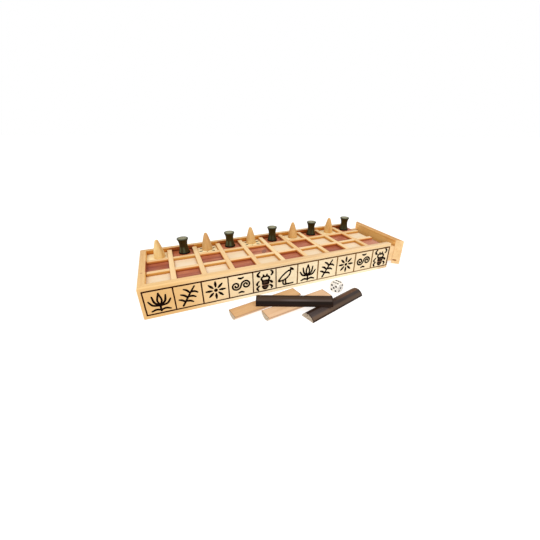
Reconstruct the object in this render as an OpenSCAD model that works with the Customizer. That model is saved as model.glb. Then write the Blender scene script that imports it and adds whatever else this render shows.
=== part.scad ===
// Game box for senet: a long mitred box whose lid is a raised board of
// 3 x 10 squares, with a shallow drawer that pulls out of its right end.
// On the board stand five cones and five waisted spools; four half-round
// throwing sticks and a die lie in front of the box.
// Millimetres. +X runs along the box to the drawer's front plate, +Y to the
// back, +Z up. The origin is the middle of the box's underside.
// The drawer is drawn 22.5 mm open.

/* [Box] */
// Length of the closed box
box_l = 382.5; // [380:0.5:384]
// Width of the box, front to back
box_w = 126; // [124:1:130]
// Height of the rim above the underside
box_h = 43.5; // [43:0.1:45]
// Thickness of the four mitred boards
wall_t = 9.4; // [9:0.1:9.8]
// Round-over along the top outer edges
edge_r = 3.6; // [2:0.1:4]
// Round-over along the top inner edges
edge_ri = 1.2; // [0.5:0.1:2]
// Radius on the two upright corners at the left end
corner_r = 1.6; // [1:0.1:3]
// Radius on the thin tips of the front and back boards at the right end
tip_r = 3.2; // [1:0.1:3.4]
// Thickness of the bottom panel
floor_t = 4; // [3:0.1:4.5]

/* [Board] */
// Height of the squares' surface above the underside
deck_z = 37; // [36.5:0.1:38]
// Thickness of one inlaid square
tile_t = 1.8; // [1:0.1:2]
// Thickness of the panel under the squares
deck_t = 2.6; // [2:0.1:2.6]
// Width of the raised dividers
div_w = 7; // [6:0.1:8]
// Height of the dividers above the squares
div_rise = 3.9; // [2.5:0.1:4]
// Radius on the dividers' top edges
div_r = 0.8; // [0.5:0.1:2]
// Distance from the box's left end to the first cross divider
div_x0 = 41.8; // [41:0.1:43]
// Pitch of the cross dividers
div_pitch = 37.1; // [36.8:0.1:37.2]

/* [Drawer] */
// How far the drawer stands open
drawer_open = 22.5; // [0:0.5:300]
// Height of the drawer's underside
drawer_z = 5.8; // [5.6:0.1:7.5]
// Height of the top of the drawer's sides
drawer_top = 32; // [28:0.5:32]
// Thickness of the drawer's sides and rear board
side_t = 6; // [5:0.5:7]
// Gap between the drawer's sides and the box's walls
side_gap = 0.3; // [0.2:0.05:0.6]
// Thickness of the drawer's bottom
tray_t = 2.5; // [2:0.1:3]
// Diameter of the dowels that hold the sides to the front plate
dowel_d = 3; // [2.5:0.1:4]

/* [Playing pieces] */
// Diameter of a cone's foot
cone_d = 16.6; // [14:0.2:18]
// Height of a cone
cone_h = 27.2; // [24:0.1:30]
// Radius of a cone's blunt tip
cone_tip = 2.6; // [1.6:0.1:2.8]
// Radius of the arc that swells a cone's side
cone_arc = 106; // [80:1:300]
// Diameter of a spool's foot
spool_d = 17; // [14:0.2:18]
// Diameter of a spool's top
spool_top_d = 16.8; // [14:0.2:18]
// Diameter of a spool's waist
spool_waist = 12; // [8:0.2:12.4]
// Height of a spool
spool_h = 23.7; // [21:0.1:26]

/* [Sticks and die] */
// Width of a throwing stick across its flat side
stick_w = 19; // [18:0.5:19]
// Thickness of a throwing stick, less than half its width
stick_h = 7.5; // [7:0.1:9.5]
// Length of a throwing stick
stick_l = 97.6; // [90:0.1:99]
// Width of the two dark sticks
top_w = 20; // [19:0.5:20]
// Thickness of the upper dark stick, less than half its width
top_h = 8.9; // [7:0.1:9.5]
// Edge of the die
die_s = 14; // [12:1:14]

/* [Hidden] */
$fn = 64;
e = 1;                                   // overlap used only in cuts
ox = -box_l/2;                           // left end
oy = -box_w/2;                           // front face
in_l = box_l - wall_t;                   // inner corner at the right end
groove = 4;                              // how far panels reach into walls
panel_gap = 0.1;
div_z0 = deck_z - tile_t;                // dividers stand on the deck panel
deck_z0 = div_z0 - deck_t;
div_h = tile_t + div_rise;
row_w = (box_w - 2*wall_t - 2*div_w)/3;  // clear width of one row
long_y = [wall_t + row_w + div_w/2, wall_t + 2*row_w + 1.5*div_w];
function cross_x(k) = div_x0 + k*div_pitch;
// clear span of column c (0 to 9) and of row r (0 to 2, front to back)
function col_a(c) = c == 0 ? wall_t : cross_x(c-1) + div_w/2;
function col_b(c) = c == 9 ? in_l : cross_x(c) - div_w/2;
function row_a(r) = wall_t + r*(row_w + div_w);
function col_mid(c) = (col_a(c) + col_b(c))/2;
tile_gap = 0.1;
runner_gap = 0.1;
side_y = wall_t + side_gap;
drawer_x0 = 14;                          // rear of the shut drawer
lip = 3;                                 // rabbet for the drawer's bottom
plate_z0 = 0.5;
plate_top = box_h - 0.5;
plate_r = 3.6;                           // on its two upper corners
end_r = 8;                               // on the long boards' upper right corners
plate_groove = 5.2;
plate_cut = 6.4;                         // depth of the cut below its groove
dowel_z = [14, 25];
dowel_len = 22;

// ---- shared shapes -------------------------------------------------------

// section of a wall: outer face on x = 0, top outer edge rounded to r,
// top inner edge to ri
module wall_section(t, h, r, ri) {
  square([t, h - r]);
  translate([r, 0]) square([t - r - ri, h]);
  translate([r, 0]) square([t - r, h - ri]);
  translate([r, h - r]) circle(r);
  translate([t - ri, h - ri]) circle(ri);
}

// run a section along +X: its x becomes Y, its y becomes Z
module along_x(len) { rotate([90, 0, 90]) linear_extrude(height = len) children(); }

// run a section along +Y: its x stays X, its y becomes Z
module along_y(len) {
  translate([0, len, 0]) rotate([90, 0, 0]) linear_extrude(height = len) children();
}

// rectangle from p to q, as a box
module block(p, q) { translate(p) cube([q[0]-p[0], q[1]-p[1], q[2]-p[2]]); }

// what a radius r takes off the corner at the origin
module corner_waste(r) {
  difference() {
    translate([-e, -e]) square(r + e);
    translate([r, r]) circle(r);
  }
}

// upright rectangle of size s whose two upper corners are rounded to r
module round_top(s, r) {
  square([s[0], s[1] - r]);
  translate([r, 0]) square([s[0] - 2*r, s[1]]);
  for (x = [r, s[0] - r]) translate([x, s[1] - r]) circle(r);
}

// plan of the front board: mitred at both ends, its right tip rounded
module front_plan() {
  k1 = 1 + sqrt(2);                 // tangent length / radius of a 45 degree tip
  difference() {
    union() {
      polygon([[0, 0], [box_l - k1*tip_r, 0], [box_l - k1*tip_r, tip_r],
        [box_l - k1*tip_r*sqrt(0.5), k1*tip_r*sqrt(0.5)],
        [in_l, wall_t], [wall_t, wall_t]]);
      translate([box_l - k1*tip_r, tip_r]) circle(tip_r);
    }
    corner_waste(corner_r);
  }
}

module long_wall() {
  difference() {
    intersection() {
      along_x(box_l) wall_section(wall_t, box_h, edge_r, edge_ri);
      translate([0, 0, -e]) linear_extrude(height = box_h + 2*e) front_plan();
      // right upper corner rounded, seen from the front
      translate([0, wall_t + e, 0]) rotate([90, 0, 0]) linear_extrude(height = wall_t + 2*e) {
        square([box_l - end_r, box_h]);
        square([box_l, box_h - end_r]);
        translate([box_l - end_r, box_h - end_r]) circle(end_r);
      }
    }
    // rabbet for the bottom panel, groove for the deck panel
    block([wall_t - groove, wall_t - groove, -e], [in_l, wall_t + e, floor_t]);
    block([wall_t - groove, wall_t - groove, deck_z0], [in_l, wall_t + e, div_z0]);
  }
}

// a divider of length len along +X, centred on Y, its foot on z = 0
module divider(len, re) {
  intersection() {
    along_x(len) {
      translate([-div_w/2, 0]) square([div_w, div_h - div_r]);
      translate([-div_w/2 + div_r, 0]) square([div_w - 2*div_r, div_h]);
      for (s = [-1, 1]) translate([s*(div_w/2 - div_r), div_h - div_r]) circle(div_r);
    }
    // rounded ends, seen from the side
    translate([0, div_w/2 + e, 0]) rotate([90, 0, 0])
      linear_extrude(height = div_w + 2*e) {
        square([len, div_h - re]);
        translate([re, 0]) square([len - 2*re, div_h]);
        translate([re, div_h - re]) circle(re);
        translate([len - re, div_h - re]) circle(re);
      }
    // rounded ends, seen from above
    translate([0, 0, -e]) linear_extrude(height = div_h + 2*e) {
      translate([0, -div_w/2 + 1.6]) square([len, div_w - 3.2]);
      translate([1.6, -div_w/2]) square([len - 3.2, div_w]);
      for (x = [1.6, len - 1.6], y = [-div_w/2 + 1.6, div_w/2 - 1.6])
        translate([x, y]) circle(1.6);
    }
  }
}

module tiles(parity) {
  for (r = [0:2], c = [0:9]) if ((r + c) % 2 == parity)
    block([ox + col_a(c) + tile_gap, oy + row_a(r) + tile_gap, deck_z - tile_t],
      [ox + col_b(c) - tile_gap, oy + row_a(r) + row_w - tile_gap, deck_z]);
}

// ---- the box -------------------------------------------------------------

module wall_left() {
  color("burlywood") translate([ox, oy, 0]) difference() {
    intersection() {
      along_y(box_w) wall_section(wall_t, box_h, edge_r, edge_ri);
      translate([0, 0, -e]) linear_extrude(height = box_h + 2*e) difference() {
        polygon([[0, 0], [wall_t, wall_t], [wall_t, box_w - wall_t], [0, box_w]]);
        corner_waste(corner_r);
        translate([0, box_w]) mirror([0, 1]) corner_waste(corner_r);
      }
    }
    block([wall_t - groove, wall_t - groove, -e],
      [wall_t + e, box_w - wall_t + groove, floor_t]);
    block([wall_t - groove, wall_t - groove, deck_z0],
      [wall_t + e, box_w - wall_t + groove, div_z0]);
  }
}

module wall_front() { color("wheat") translate([ox, oy, 0]) long_wall(); }

module wall_back() {
  color("wheat") translate([ox, -oy, 0]) mirror([0, 1, 0]) long_wall();
}

module bottom_panel() {
  color("tan") block(
    [ox + wall_t - groove + panel_gap, oy + wall_t - groove + panel_gap, 0],
    [ox + in_l - panel_gap, -oy - wall_t + groove - panel_gap, floor_t]);
}

// strips that the drawer's sides run on
module runner(s) {
  translate([0, s*(-oy - side_y - side_t/2), 0])
    block([ox + wall_t + 2, -side_t/2, floor_t],
      [ox + in_l - 2, side_t/2, drawer_z - runner_gap]);
}
module runner_front() { color("sienna") runner(-1); }
module runner_back() { color("sienna") runner(1); }

module deck_panel() {
  color("tan") block(
    [ox + wall_t - groove + panel_gap, oy + wall_t - groove + panel_gap, deck_z0],
    [ox + in_l - panel_gap, -oy - wall_t + groove - panel_gap, div_z0]);
}

module tiles_light() { color("moccasin") tiles(0); }
module tiles_red() { color("indianred") tiles(1); }

// the long dividers are notched from above, the cross dividers from below
module long_divider(i) {
  difference() {
    translate([ox + wall_t + panel_gap, oy + long_y[i], div_z0])
      divider(in_l - wall_t - 2*panel_gap, 2);
    for (k = [0:8])
      block([ox + cross_x(k) - div_w/2, oy + long_y[i] - div_w/2 - e, div_z0 + div_h/2],
        [ox + cross_x(k) + div_w/2, oy + long_y[i] + div_w/2 + e, div_z0 + div_h + e]);
  }
}
module long_divider_front() { color("blanchedalmond") long_divider(0); }
module long_divider_back() { color("blanchedalmond") long_divider(1); }

module cross_divider(k) {
  color("blanchedalmond") difference() {
    translate([ox + cross_x(k), oy + wall_t + panel_gap, div_z0]) rotate([0, 0, 90])
      divider(box_w - 2*wall_t - 2*panel_gap, 2.4);
    for (i = [0:1])
      block([ox + cross_x(k) - div_w/2 - e, oy + long_y[i] - div_w/2, div_z0 - e],
        [ox + cross_x(k) + div_w/2 + e, oy + long_y[i] + div_w/2, div_z0 + div_h/2]);
  }
}
module cross_divider_1() { cross_divider(0); }
module cross_divider_2() { cross_divider(1); }
module cross_divider_3() { cross_divider(2); }
module cross_divider_4() { cross_divider(3); }
module cross_divider_5() { cross_divider(4); }
module cross_divider_6() { cross_divider(5); }
module cross_divider_7() { cross_divider(6); }
module cross_divider_8() { cross_divider(7); }
module cross_divider_9() { cross_divider(8); }

// ---- the drawer, drawn shut and then moved out ---------------------------

module drawer_place() { translate([ox + drawer_open, oy, 0]) children(); }

// front plate: the box's right end board, mitred to the long walls
module drawer_plate() {
  color("navajowhite") drawer_place() difference() {
    intersection() {
      translate([box_l, 0, plate_z0]) mirror([1, 0, 0]) along_y(box_w)
        wall_section(wall_t, plate_top - plate_z0, 1.4, 1);
      // the two upper corners rounded, seen from the end
      translate([in_l - e, 0, plate_z0 - e]) along_x(wall_t + 2*e)
        round_top([box_w, plate_top - plate_z0 + e], plate_r);
      translate([0, 0, -e]) linear_extrude(height = box_h + 2*e) difference() {
        polygon([[box_l, 0], [box_l, box_w], [in_l, box_w - wall_t], [in_l, wall_t]]);
        translate([box_l, 0]) mirror([1, 0]) corner_waste(1.2);
        translate([box_l, box_w]) mirror([1, 0]) mirror([0, 1]) corner_waste(1.2);
      }
    }
    // groove for the drawer's bottom, open at the mitred ends
    block([in_l - e, -e, drawer_z], [in_l + plate_groove, box_w + e, drawer_z + tray_t]);
    // between the long walls the edge below the groove is cut back, so that
    // only a small block is left under it at each mitred end
    block([in_l - e, wall_t + 0.6, plate_z0 - e],
      [in_l + plate_cut, box_w - wall_t - 0.6, drawer_z + e]);
    for (y = [side_y + side_t/2, box_w - side_y - side_t/2], z = dowel_z)
      translate([in_l - e, y, z]) rotate([0, 90, 0]) cylinder(h = wall_t + 2*e, d = dowel_d);
    // finger groove in the outer face
    translate([box_l - 3, box_w/2, box_h/2]) rotate([0, 90, 0])
      linear_extrude(height = 3 + e) {
        square([11, 50], center = true);
        for (s = [-1, 1]) translate([0, s*25]) circle(5.5);
      }
  }
}

module side_board() {
  difference() {
    block([drawer_x0, side_y, drawer_z], [in_l, side_y + side_t, drawer_top]);
    block([drawer_x0 - e, side_y + side_t - lip, drawer_z - e],
      [in_l + e, side_y + side_t + e, drawer_z + tray_t]);
    for (z = dowel_z) translate([in_l - (dowel_len - wall_t) - 0.2, side_y + side_t/2, z])
      rotate([0, 90, 0]) cylinder(h = dowel_len, d = dowel_d);
  }
}
module drawer_side_front() { color("bisque") drawer_place() side_board(); }
module drawer_side_back() {
  color("bisque") translate([ox + drawer_open, -oy, 0]) mirror([0, 1, 0]) side_board();
}

module drawer_rear() {
  color("bisque") drawer_place()
    block([drawer_x0, side_y + side_t, drawer_z + tray_t],
      [drawer_x0 + side_t, box_w - side_y - side_t, drawer_top]);
}

module drawer_bottom() {
  color("peru") drawer_place()
    block([drawer_x0, side_y + side_t - lip + panel_gap, drawer_z],
      [in_l + plate_groove - 0.2, box_w - side_y - side_t + lip - panel_gap, drawer_z + tray_t]);
}

module drawer_dowels() {
  color("saddlebrown") drawer_place()
    for (y = [side_y + side_t/2, box_w - side_y - side_t/2], z = dowel_z)
      translate([box_l - dowel_len, y, z]) rotate([0, 90, 0])
        cylinder(h = dowel_len, d = dowel_d - 0.04);
}

// ---- playing pieces ------------------------------------------------------

// centre of the arc of radius a that starts at [r, 0] and runs into a tip of
// radius t whose centre stands at height h
function bulge_at(a, r, t, h) =
  let (d = norm([r, h]), k = (a*a - (a - t)*(a - t) + d*d)/(2*d), m = sqrt(a*a - k*k))
  [r - k*r/d - m*h/d, k*h/d - m*r/d];

module cone_piece() {
  zt = cone_h - cone_tip;
  c = bulge_at(cone_arc, cone_d/2, cone_tip, zt);
  u = [-c[0], zt - c[1]]/norm([-c[0], zt - c[1]]);   // towards the tip's centre
  j = [0, zt] + cone_tip*u;                          // where arc and tip meet
  rotate_extrude() {
    intersection() {
      translate(c) circle(cone_arc, $fn = 720);
      polygon([[0, 0], [cone_d/2 - 0.4, 0], [cone_d/2, 0.4], [cone_d/2 + e, j[1]], [0, j[1]]]);
    }
    translate([0, zt]) intersection() {
      circle(cone_tip);
      translate([0, j[1] - zt - 0.01]) square(cone_tip + e);
    }
  }
}

// concave side in two arcs that meet upright at the waist, with a narrow
// straight band above and below
waist_z = spool_h*0.565;
spool_band = 0.8;
spool_rim = 0.8;                         // round-over of the top's edge
function arc_r(d, h) = (h*h + d*d)/(2*d);
module spool_piece() {
  zu = spool_h - spool_rim - spool_band/2;
  ru = arc_r((spool_top_d - spool_waist)/2, zu - waist_z);
  rl = arc_r((spool_d - spool_waist)/2, waist_z - spool_band);
  rotate_extrude() difference() {
    union() {
      square([spool_d/2, waist_z]);
      square([spool_top_d/2, spool_h - spool_rim]);
      square([spool_top_d/2 - spool_rim, spool_h]);
      translate([spool_top_d/2 - spool_rim, spool_h - spool_rim]) circle(spool_rim);
    }
    intersection() {
      translate([spool_waist/2 + ru, waist_z]) circle(ru);
      translate([0, waist_z]) square([spool_d, spool_h]);
    }
    intersection() {
      translate([spool_waist/2 + rl, waist_z]) circle(rl);
      translate([0, waist_z - spool_h]) square([spool_d, spool_h]);
    }
    // eased foot
    polygon([[spool_d/2 - 0.3, -e], [spool_d/2 - 0.3, 0], [spool_d/2, 0.3], [spool_d/2 + e, 0.3], [spool_d/2 + e, -e]]);
  }
}

// pieces stand on the back row, cones on the odd squares, spools on the even
module stand(x, y) { translate([ox + x, oy + y, deck_z]) children(); }
module cone_1() { color("burlywood") stand(27, 101.4) cone_piece(); }
module cone_2() { color("burlywood") stand(97.8, 105.9) cone_piece(); }
module cone_3() { color("burlywood") stand(170.9, 106.8) cone_piece(); }
module cone_4() { color("burlywood") stand(247.9, 104.3) cone_piece(); }
module cone_5() { color("burlywood") stand(322.3, 104.3) cone_piece(); }
module spool_1() { color("darkolivegreen") stand(62.9, 104.8) spool_piece(); }
module spool_2() { color("darkolivegreen") stand(134.6, 104.9) spool_piece(); }
module spool_3() { color("darkolivegreen") stand(208.6, 104) spool_piece(); }
module spool_4() { color("darkolivegreen") stand(285.7, 105.4) spool_piece(); }
module spool_5() { color("darkolivegreen") stand(358.3, 106.1) spool_piece(); }

// ---- throwing sticks and die ---------------------------------------------

// a round rod split lengthwise, lying along +X from its left end, foot on z = 0
module half_rod(flat_up, w = stick_w, h = stick_h) {
  r = (w*w/4 + h*h)/(2*h);
  along_x(stick_l) intersection() {
    translate([0, flat_up ? r : h - r]) circle(r, $fn = 96);
    translate([-r, 0]) square([2*r, h]);
  }
}
module lay(x, y, z, turn) { translate([ox + x, oy + y, z]) rotate([0, 0, turn]) children(); }

module stick_light_left() { color("wheat") lay(98.9, -38.1, 0, 9.8) half_rod(true); }
module stick_light_right() { color("wheat") lay(135.5, -55.3, 0, 8.9) half_rod(true); }
module stick_dark_top() { color("saddlebrown") 
  lay(134.4, -25.9, stick_h + 0.02, -23.7) half_rod(false, top_w, top_h); }
module stick_dark_right() { color("saddlebrown") lay(183.1, -74.7, 0, 15.9) half_rod(false, top_w); }

pip_o = 3.45/14*die_s;                   // a pip's distance from the middle
// pips of one face, on its outward side; faces sum to seven with their opposites
function pips(n) = concat(n % 2 == 1 ? [[0, 0]] : [],
  n > 1 ? [[-1, 1], [1, -1]] : [], n > 3 ? [[1, 1], [-1, -1]] : [],
  n == 6 ? [[-1, 0], [1, 0]] : []);
module pip_marks(n, r, sink) {
  for (p = pips(n)) translate([p[0]*pip_o, p[1]*pip_o, die_s/2 + 0.6 - sink]) sphere(r, $fn = 24);
}
module all_pips(r, sink) {
  rotate([0, 0, 90]) pip_marks(6, r, sink);
  rotate([180, 0, 0]) pip_marks(1, r, sink);
  rotate([90, 0, 0]) pip_marks(5, r, sink);
  rotate([-90, 0, 0]) pip_marks(2, r, sink);
  rotate([0, 90, 0]) pip_marks(3, r, sink);
  rotate([0, -90, 0]) pip_marks(4, r, sink);
}
module die_at() { translate([ox + 253.8, oy - 31.3, die_s/2]) rotate([0, 0, -68.9]) children(); }

module die() {
  color("ivory") die_at() difference() {
    intersection() {
      cube(die_s, center = true);
      sphere(die_s*0.72, $fn = 96);
    }
    all_pips(1.66, 0);
  }
}

module die_pips() {
  color("black") die_at() intersection() {
    cube(die_s - 0.08, center = true);
    all_pips(1.64, 0);
  }
}

wall_left();
wall_front();
wall_back();
bottom_panel();
runner_front();
runner_back();
deck_panel();
tiles_light();
tiles_red();
long_divider_front();
long_divider_back();
cross_divider_1();
cross_divider_2();
cross_divider_3();
cross_divider_4();
cross_divider_5();
cross_divider_6();
cross_divider_7();
cross_divider_8();
cross_divider_9();
drawer_plate();
drawer_side_front();
drawer_side_back();
drawer_rear();
drawer_bottom();
drawer_dowels();
cone_1();
cone_2();
cone_3();
cone_4();
cone_5();
spool_1();
spool_2();
spool_3();
spool_4();
spool_5();
stick_light_left();
stick_light_right();
stick_dark_top();
stick_dark_right();
die();
die_pips();
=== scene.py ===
import math
import random

import bmesh
import bpy
from mathutils import Matrix, Vector


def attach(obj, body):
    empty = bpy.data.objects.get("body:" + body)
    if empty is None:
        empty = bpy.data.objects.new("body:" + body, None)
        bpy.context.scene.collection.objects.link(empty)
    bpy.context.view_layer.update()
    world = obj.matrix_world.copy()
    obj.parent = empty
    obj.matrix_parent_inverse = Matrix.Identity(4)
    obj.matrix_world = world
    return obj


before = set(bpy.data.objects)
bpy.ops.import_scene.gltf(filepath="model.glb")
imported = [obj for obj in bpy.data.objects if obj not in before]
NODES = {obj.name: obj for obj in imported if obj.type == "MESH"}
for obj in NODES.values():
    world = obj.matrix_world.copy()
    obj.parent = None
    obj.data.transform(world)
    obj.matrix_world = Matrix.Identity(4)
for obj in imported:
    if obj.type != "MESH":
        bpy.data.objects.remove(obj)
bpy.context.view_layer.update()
scene = bpy.context.scene

# ---------------------------------------------------------------------------
# the box's own millimetre frame: x from its left end, y from its front face,
# z from its underside
# ---------------------------------------------------------------------------
BOX_L, BOX_W, BOX_H, WALL = 382.5, 126.0, 43.5, 9.4
OX, OY = -BOX_L / 2, -BOX_W / 2
DECK = 37.0
DIV_X0, PITCH, DIV_W = 41.8, 37.1, 7.0
ROW_W = (BOX_W - 2 * WALL - 2 * DIV_W) / 3
IN_L = BOX_L - WALL


def P(x, y, z):
    """box millimetres to row metres"""
    return Vector(((x + OX) / 1000, (y + OY) / 1000, z / 1000))


# ---------------------------------------------------------------------------
# camera first
# ---------------------------------------------------------------------------
YAW, PITCH_DOWN, ROLL = 23.2585, 27.2996, 0.3430
F_PX, PP = 265.667, (278.827, 271.571)
cy, sy = math.cos(math.radians(YAW)), math.sin(math.radians(YAW))
cp, sp = math.cos(math.radians(PITCH_DOWN)), math.sin(math.radians(PITCH_DOWN))
fwd = Vector((sy * cp, cy * cp, -sp))
right = Vector((cy, -sy, 0))
up = right.cross(fwd)
cr, sr = math.cos(math.radians(ROLL)), math.sin(math.radians(ROLL))
right, up = right * cr + up * sr, up * cr - right * sr
cam_data = bpy.data.cameras.new("camera")
cam_data.sensor_fit = "HORIZONTAL"
cam_data.sensor_width = 36.0
cam_data.lens = F_PX / 540 * 36.0
cam_data.shift_x = (270 - PP[0]) / 540
cam_data.shift_y = (PP[1] - 270) / 540
cam_data.clip_start = 0.005
cam = bpy.data.objects.new("camera", cam_data)
m = Matrix((right, up, -fwd)).transposed().to_4x4()
m.translation = P(47.3988, -301.2336, 200.3332)
cam.matrix_world = m
scene.collection.objects.link(cam)
scene.camera = cam

scene.view_settings.view_transform = "Standard"
scene.view_settings.look = "None"


# ---------------------------------------------------------------------------
# node helpers
# ---------------------------------------------------------------------------
def lin(c):
    """0-255 sRGB to linear, with alpha"""
    out = []
    for v in c:
        v = v / 255
        out.append(v / 12.92 if v <= 0.04045 else ((v + 0.055) / 1.055) ** 2.4)
    return (*out, 1.0)


class Graph:
    def __init__(self, name):
        self.mat = bpy.data.materials.new(name)
        self.mat.use_nodes = True
        self.nt = self.mat.node_tree
        self.nt.nodes.clear()
        self.out = self.n("ShaderNodeOutputMaterial")
        self.bsdf = self.n("ShaderNodeBsdfPrincipled")
        self.nt.links.new(self.bsdf.outputs[0], self.out.inputs[0])

    def n(self, kind, **props):
        node = self.nt.nodes.new(kind)
        for k, v in props.items():
            setattr(node, k, v)
        return node

    def put(self, socket, value):
        if isinstance(value, bpy.types.NodeSocket):
            self.nt.links.new(value, socket)
        else:
            socket.default_value = value

    def math(self, op, a, b=None, c=None, clamp=False):
        node = self.n("ShaderNodeMath", operation=op, use_clamp=clamp)
        for s, v in zip(node.inputs, (a, b, c)):
            if v is not None:
                self.put(s, v)
        return node.outputs[0]

    def vmath(self, op, a, b=None, scale=None):
        node = self.n("ShaderNodeVectorMath", operation=op)
        self.put(node.inputs[0], a)
        if b is not None:
            self.put(node.inputs[1], b)
        if scale is not None:
            self.put(node.inputs["Scale"], scale)
        return node.outputs["Value" if op in ("DOT_PRODUCT", "LENGTH", "DISTANCE") else "Vector"]

    def sep(self, v):
        node = self.n("ShaderNodeSeparateXYZ")
        self.put(node.inputs[0], v)
        return node.outputs

    def step(self, v, a, b, lo=0.0, hi=1.0, smooth=True):
        node = self.n("ShaderNodeMapRange", interpolation_type="SMOOTHSTEP" if smooth else "LINEAR")
        node.clamp = True
        for s, x in zip(node.inputs, (v, a, b, lo, hi)):
            self.put(s, x)
        return node.outputs[0]

    def mix(self, f, a, b, mode="MIX"):
        node = self.n("ShaderNodeMix", data_type="RGBA", blend_type=mode, clamp_factor=True)
        self.put(node.inputs[0], f)
        self.put(node.inputs[6], a)
        self.put(node.inputs[7], b)
        return node.outputs[2]

    def obj(self):
        if not hasattr(self, "_obj"):
            self._obj = self.n("ShaderNodeTexCoord").outputs["Object"]
            self._geo = self.n("ShaderNodeNewGeometry")
        return self._obj

    def normal(self):
        self.obj()
        return self._geo.outputs["Normal"]

    def noise(self, vec, scale, detail=3.0, rough=0.55, dist=0.0):
        node = self.n("ShaderNodeTexNoise")
        self.put(node.inputs["Vector"], vec)
        node.inputs["Scale"].default_value = scale
        node.inputs["Detail"].default_value = detail
        node.inputs["Roughness"].default_value = rough
        node.inputs["Distortion"].default_value = dist
        return node.outputs["Fac"]

    def mapped(self, vec, scale, turn=(0, 0, 0), shift=(0, 0, 0)):
        node = self.n("ShaderNodeMapping")
        self.put(node.inputs["Vector"], vec)
        node.inputs["Scale"].default_value = scale
        node.inputs["Rotation"].default_value = turn
        self.put(node.inputs["Location"], shift)
        return node.outputs[0]

    def bump(self, height, strength, distance):
        node = self.n("ShaderNodeBump")
        self.put(node.inputs["Height"], height)
        node.inputs["Strength"].default_value = strength
        node.inputs["Distance"].default_value = distance
        self.nt.links.new(node.outputs[0], self.bsdf.inputs["Normal"])


def grain_scale(axis, along, across):
    return tuple(along if a == axis else across for a in "xyz")


def wood(name, base, dark, axis="x", seed=0.0, figure=0.5, fibre=0.35, rough=0.42, turn=0.0,
         sheen_coat=0.0, bump=0.12, colour=None, figure_size=1.0, spec=0.35):
    """Sanded wood: soft bands of figure, fine fibres and pores drawn out along the grain.
    colour(g, base_colour) may repaint parts of it by place."""
    g = Graph(name)
    rot = (0, 0, -math.radians(turn))
    v = g.mapped(g.obj(), (1, 1, 1), rot, (seed * 0.37, seed * 0.113, seed * 0.071))
    big = g.noise(g.mapped(v, grain_scale(axis, 5 * figure_size, 60 * figure_size)), 1.0, 3.0, 0.5, 0.6)
    bands = g.noise(g.mapped(v, grain_scale(axis, 9, 330)), 1.0, 2.0, 0.5, 0.25)
    fine = g.noise(g.mapped(v, grain_scale(axis, 60, 1900)), 1.0, 2.0, 0.6)
    pores = g.noise(g.mapped(v, grain_scale(axis, 260, 3600)), 1.0, 0.0)
    pore = g.step(pores, 0.66, 0.74)
    f1 = g.math("MULTIPLY", g.step(big, 0.38, 0.66), figure)
    f2 = g.math("MULTIPLY", g.step(bands, 0.44, 0.72), figure * 0.55)
    f3 = g.math("MULTIPLY", g.step(fine, 0.42, 0.7), fibre * 0.5)
    f = g.math("ADD", g.math("ADD", f1, f2), g.math("ADD", f3, g.math("MULTIPLY", pore, fibre * 0.55)), clamp=True)
    if colour:
        c = colour(g, f)
    else:
        c = g.mix(f, lin(base), lin(dark))
    g.put(g.bsdf.inputs["Base Color"], c)
    r = g.math("ADD", rough - 0.06, g.math("MULTIPLY", fine, 0.14))
    g.put(g.bsdf.inputs["Roughness"], r)
    g.bsdf.inputs["Specular IOR Level"].default_value = spec
    if sheen_coat:
        g.bsdf.inputs["Coat Weight"].default_value = sheen_coat
        g.bsdf.inputs["Coat Roughness"].default_value = 0.28
    h = g.math("SUBTRACT", g.math("MULTIPLY", fine, 0.6), g.math("MULTIPLY", pore, 0.8))
    g.bump(h, bump, 0.0003)
    return g.mat


def box_mm(g):
    """x, y, z in box millimetres"""
    s = g.sep(g.obj())
    return (g.math("ADD", g.math("MULTIPLY", s[0], 1000), -OX),
            g.math("ADD", g.math("MULTIPLY", s[1], 1000), -OY),
            g.math("MULTIPLY", s[2], 1000))


def cell(g, point):
    """column and row of the board's square that holds a point"""
    s = g.sep(point)
    x = g.math("ADD", g.math("MULTIPLY", s[0], 1000), -OX)
    y = g.math("ADD", g.math("MULTIPLY", s[1], 1000), -OY)
    col = g.math("FLOOR", g.math("DIVIDE", g.math("SUBTRACT", x, DIV_X0 - PITCH), PITCH))
    row = g.math("ADD", g.math("GREATER_THAN", y, WALL + ROW_W + DIV_W / 2),
                 g.math("GREATER_THAN", y, WALL + 2 * ROW_W + DIV_W * 1.5))
    return col, row


def cell_parity(g):
    """1 where the nearest square of the board is a stained one, seen from the surface's own side"""
    col, row = cell(g, g.vmath("ADD", g.obj(), g.vmath("SCALE", g.normal(), scale=0.0035)))
    return g.math("MODULO", g.math("ADD", g.math("ADD", col, row), 20.0), 2.0)


def cell_tone(g, seed):
    """a tone of its own for each square, 0 to 1"""
    col, row = cell(g, g.obj())
    v = g.n("ShaderNodeCombineXYZ")
    g.put(v.inputs[0], g.math("ADD", col, seed))
    g.put(v.inputs[1], row)
    node = g.n("ShaderNodeTexWhiteNoise", noise_dimensions="2D")
    g.put(node.inputs["Vector"], v.outputs[0])
    return node.outputs["Value"]


# ---------------------------------------------------------------------------
# colours of the board's recess: the upright sides of the dividers and walls are
# painted darker than their tops as painted shade, darker still at their base as
# painted shade in the crease, and tinted beside the stained squares, partly by
# stain that ran onto them and partly as painted light reflected from the squares
# ---------------------------------------------------------------------------
SIDE_PALE, SIDE_PALE_BASE_SHADE = (214, 158, 78), (190, 124, 50)
SIDE_RED, SIDE_RED_BASE_SHADE = (224, 151, 74), (163, 76, 31)


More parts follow.
